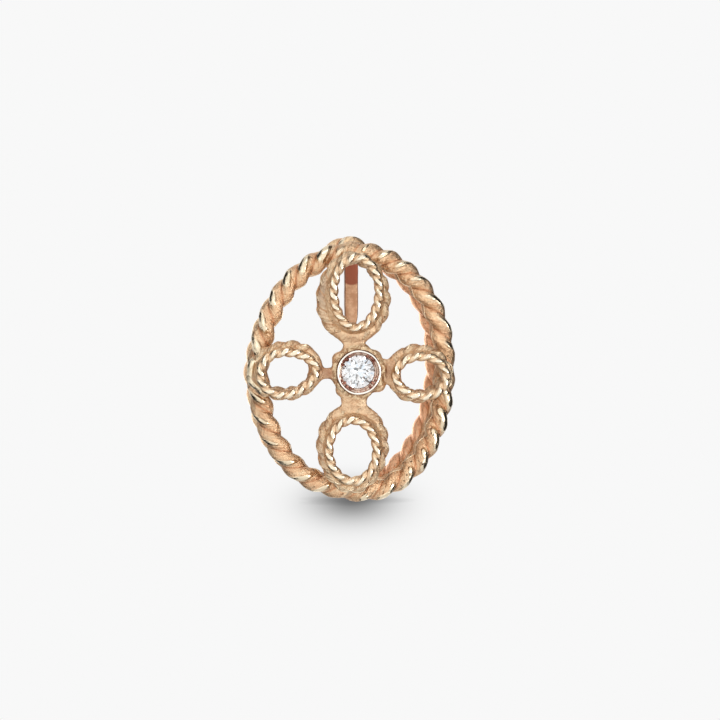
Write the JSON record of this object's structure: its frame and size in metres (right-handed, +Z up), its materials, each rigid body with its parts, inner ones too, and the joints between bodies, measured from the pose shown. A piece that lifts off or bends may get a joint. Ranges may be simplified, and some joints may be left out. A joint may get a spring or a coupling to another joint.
{
  "type": "oval rope-wire earring with petal loops and a set stone",
  "caption": "Open oval earring of twisted rope wire, with petal loops soldered across its front round a bezel-set round stone and a flat fixed ear hook behind.",
  "frame": {"origin": "where the ear hook bears on the ear: the middle of the hook's seat, under its top", "axes": "+X to the right as the picture shows the front, +Y to the back, towards the head, +Z up"},
  "size_m": [0.015, 0.0085, 0.0186],
  "materials": {
    "satin_gold": "satin rose gold, drawn and twisted wire with fine striations",
    "shaded_gold": "unpolished reddish rose gold of the back rope",
    "polished_gold": "polished pale rose gold",
    "strip_gold": "brushed rose gold strip",
    "stone": "clear white cut stone, polished facets"
  },
  "bodies": {
    "root": {"rim_front": "satin_gold", "rim_back": "shaded_gold", "petal_top_base": "satin_gold", "petal_right_base": "satin_gold", "petal_bottom_base": "satin_gold", "petal_left_base": "satin_gold", "petal_top_trim": "polished_gold", "petal_right_trim": "polished_gold", "petal_bottom_trim": "polished_gold", "petal_left_trim": "polished_gold", "collar": "satin_gold", "bezel": "polished_gold", "stone": "stone", "ear_hook": "strip_gold"}
  },
  "joints": []
}
